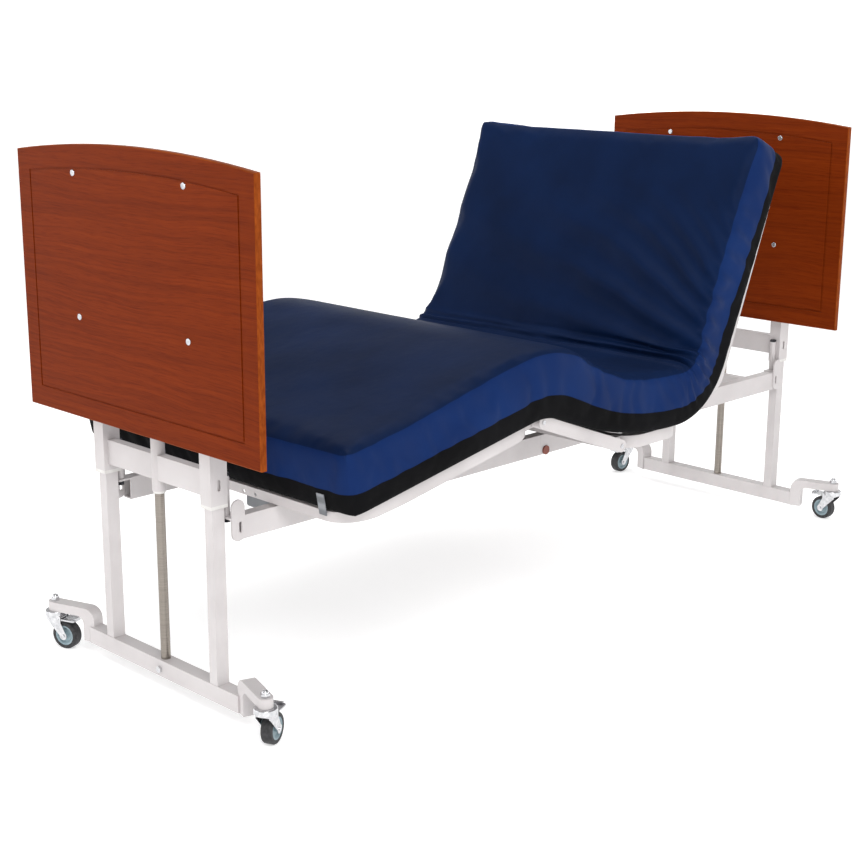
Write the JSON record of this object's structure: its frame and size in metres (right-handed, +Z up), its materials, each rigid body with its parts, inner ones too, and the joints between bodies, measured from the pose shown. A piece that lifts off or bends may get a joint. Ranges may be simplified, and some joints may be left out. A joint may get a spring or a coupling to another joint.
{
  "type": "adjustable hospital bed",
  "caption": "Adjustable hospital bed: telescoping end frames on lockable casters, hinged back, thigh and foot sections, wood-faced boards and a foam mattress.",
  "frame": {"origin": "on the floor, midway between the two end frames and the two sides", "axes": "+X from the foot to the head, +Z up, -Y is the left side of a person lying in the bed"},
  "size_m": [2.4934, 1.066, 1.3259],
  "materials": {
    "cream_paint": "powder coat, satin",
    "stainless_rod": "ground",
    "cherry_laminate": "satin laminate",
    "zinc_plate": "bright plated",
    "pedal_steel": "bright plated",
    "tyre_rubber": "smooth",
    "hub_plastic": "moulded",
    "black_bolt": "black oxide",
    "bush_plastic": "moulded",
    "housing_plastic": "moulded",
    "plug_plastic": "moulded",
    "strap_webbing": "woven",
    "mattress_cover": "coated knit"
  },
  "bodies": {
    "foot_base": {"foot_base_frame": "cream_paint", "foot_lift_rod": "stainless_rod", "foot_base_bolts": "zinc_plate"},
    "platform": {"back_hinge_stands": "cream_paint", "back_motor": "housing_plastic", "control_box": "housing_plastic", "cross_members": "cream_paint", "deck_hinge_pins": "zinc_plate", "foot_board_screws": "zinc_plate", "foot_bushes": "bush_plastic", "foot_lift_motor": "housing_plastic", "foot_pivot_bolts": "black_bolt", "foot_sleeve_frame": "cream_paint", "footboard": "cherry_laminate", "head_board_screws": "zinc_plate", "head_bushes": "bush_plastic", "head_lift_motor": "housing_plastic", "head_pivot_bolts": "black_bolt", "head_sleeve_frame": "cream_paint", "headboard": "cherry_laminate", "knee_motor": "housing_plastic", "left_side_rail": "cream_paint", "mattress_seat": "mattress_cover", "rail_end_ears": "cream_paint", "rail_plugs": "plug_plastic", "right_side_rail": "cream_paint", "seat_frame": "cream_paint", "seat_slats": "cream_paint"},
    "head_base": {"head_base_frame": "cream_paint", "head_lift_rod": "stainless_rod", "head_base_bolts": "zinc_plate"},
    "back": {"back_frame": "cream_paint", "back_slats": "cream_paint", "mattress_back": "mattress_cover"},
    "thigh": {"thigh_frame": "cream_paint", "thigh_slats": "cream_paint", "mattress_thigh": "mattress_cover", "knee_pins": "zinc_plate"},
    "foot_section": {"foot_frame": "cream_paint", "foot_slats": "cream_paint", "mattress_foot": "mattress_cover", "mattress_straps": "strap_webbing"},
    "back_actuator_rod": {"back_rod": "stainless_rod"},
    "knee_actuator_rod": {"knee_rod": "stainless_rod"},
    "foot_left_swivel": {"caster_foot_left_fork": "zinc_plate"},
    "foot_left_wheel": {"caster_foot_left_tyre": "tyre_rubber", "caster_foot_left_hub": "hub_plastic"},
    "foot_left_pedal": {"caster_foot_left_pedal": "pedal_steel"},
    "foot_right_swivel": {"caster_foot_right_fork": "zinc_plate"},
    "foot_right_wheel": {"caster_foot_right_tyre": "tyre_rubber", "caster_foot_right_hub": "hub_plastic"},
    "foot_right_pedal": {"caster_foot_right_pedal": "pedal_steel"},
    "head_left_swivel": {"caster_head_left_fork": "zinc_plate"},
    "head_left_wheel": {"caster_head_left_tyre": "tyre_rubber", "caster_head_left_hub": "hub_plastic"},
    "head_left_pedal": {"caster_head_left_pedal": "pedal_steel"},
    "head_right_swivel": {"caster_head_right_fork": "zinc_plate"},
    "head_right_wheel": {"caster_head_right_tyre": "tyre_rubber", "caster_head_right_hub": "hub_plastic"},
    "head_right_pedal": {"caster_head_right_pedal": "pedal_steel"}
  },
  "joints": [
    {"name": "lift", "type": "slide", "parent": "foot_base", "child": "platform", "axis": [0, 0, 1], "range_m": [-0.32, 0.15]},
    {"name": "head_lift", "type": "slide", "parent": "platform", "child": "head_base", "axis": [0, 0, -1], "range_m": [-0.32, 0.15]},
    {"name": "back_tilt", "type": "hinge", "parent": "platform", "child": "back", "pos_m": [0.33, 0, 0.535], "axis": [0, -1, 0], "range_deg": [-66.4, 4]},
    {"name": "thigh_tilt", "type": "hinge", "parent": "platform", "child": "thigh", "pos_m": [-0.0435, 0, 0.5055], "axis": [0, 1, 0], "range_deg": [-20.57, 8]},
    {"name": "knee", "type": "hinge", "parent": "thigh", "child": "foot_section", "pos_m": [-0.36838, 0, 0.62742], "axis": [0, 1, 0], "range_deg": [-12.2, 31.2]},
    {"name": "back_push", "type": "slide", "parent": "platform", "child": "back_actuator_rod", "axis": [1, 0, 0], "range_m": [-0.133, 0.009]},
    {"name": "knee_pull", "type": "slide", "parent": "platform", "child": "knee_actuator_rod", "axis": [-1, 0, 0], "range_m": [-0.0365, 0.0145]},
    {"name": "foot_left_turn", "type": "hinge", "parent": "foot_base", "child": "foot_left_swivel", "pos_m": [-1.21868, -0.43096, 0.1], "axis": [0, 0, 1], "continuous": true},
    {"name": "foot_left_roll", "type": "hinge", "parent": "foot_left_swivel", "child": "foot_left_wheel", "pos_m": [-1.18967, -0.41744, 0.0375], "axis": [-0.4226, 0.9063, 0], "continuous": true},
    {"name": "foot_left_brake", "type": "hinge", "parent": "foot_left_swivel", "child": "foot_left_pedal", "pos_m": [-1.20146, -0.42293, 0.082], "axis": [-0.4226, 0.9063, 0], "range_deg": [0, 8]},
    {"name": "foot_right_turn", "type": "hinge", "parent": "foot_base", "child": "foot_right_swivel", "pos_m": [-1.21868, 0.43096, 0.1], "axis": [0, 0, 1], "continuous": true},
    {"name": "foot_right_roll", "type": "hinge", "parent": "foot_right_swivel", "child": "foot_right_wheel", "pos_m": [-1.20721, 0.40109, 0.0375], "axis": [0.9336, 0.3584, 0], "continuous": true},
    {"name": "foot_right_brake", "type": "hinge", "parent": "foot_right_swivel", "child": "foot_right_pedal", "pos_m": [-1.21187, 0.41323, 0.082], "axis": [0.9336, 0.3584, 0], "range_deg": [0, 8]},
    {"name": "head_left_turn", "type": "hinge", "parent": "head_base", "child": "head_left_swivel", "pos_m": [1.21868, -0.43096, 0.1], "axis": [0, 0, 1], "continuous": true},
    {"name": "head_left_roll", "type": "hinge", "parent": "head_left_swivel", "child": "head_left_wheel", "pos_m": [1.22035, -0.39901, 0.0375], "axis": [-0.9986, 0.0523, 0], "continuous": true},
    {"name": "head_left_brake", "type": "hinge", "parent": "head_left_swivel", "child": "head_left_pedal", "pos_m": [1.21967, -0.41199, 0.082], "axis": [-0.9986, 0.0523, 0], "range_deg": [0, 8]},
    {"name": "head_right_turn", "type": "hinge", "parent": "head_base", "child": "head_right_swivel", "pos_m": [1.21868, 0.43096, 0.1], "axis": [0, 0, 1], "continuous": true},
    {"name": "head_right_roll", "type": "hinge", "parent": "head_right_swivel", "child": "head_right_wheel", "pos_m": [1.1868, 0.43375, 0.0375], "axis": [-0.0872, -0.9962, 0], "continuous": true},
    {"name": "head_right_brake", "type": "hinge", "parent": "head_right_swivel", "child": "head_right_pedal", "pos_m": [1.19975, 0.43262, 0.082], "axis": [-0.0872, -0.9962, 0], "range_deg": [0, 8]}
  ],
  "couplings": [
    {"joint": "head_lift", "follows": "lift", "ratio": 1},
    {"joint": "knee", "follows": "thigh_tilt", "ratio": -1.5105},
    {"joint": "back_push", "follows": "back_tilt", "m_per_rad": 0.1134},
    {"joint": "knee_pull", "follows": "thigh_tilt", "m_per_rad": 0.1}
  ]
}
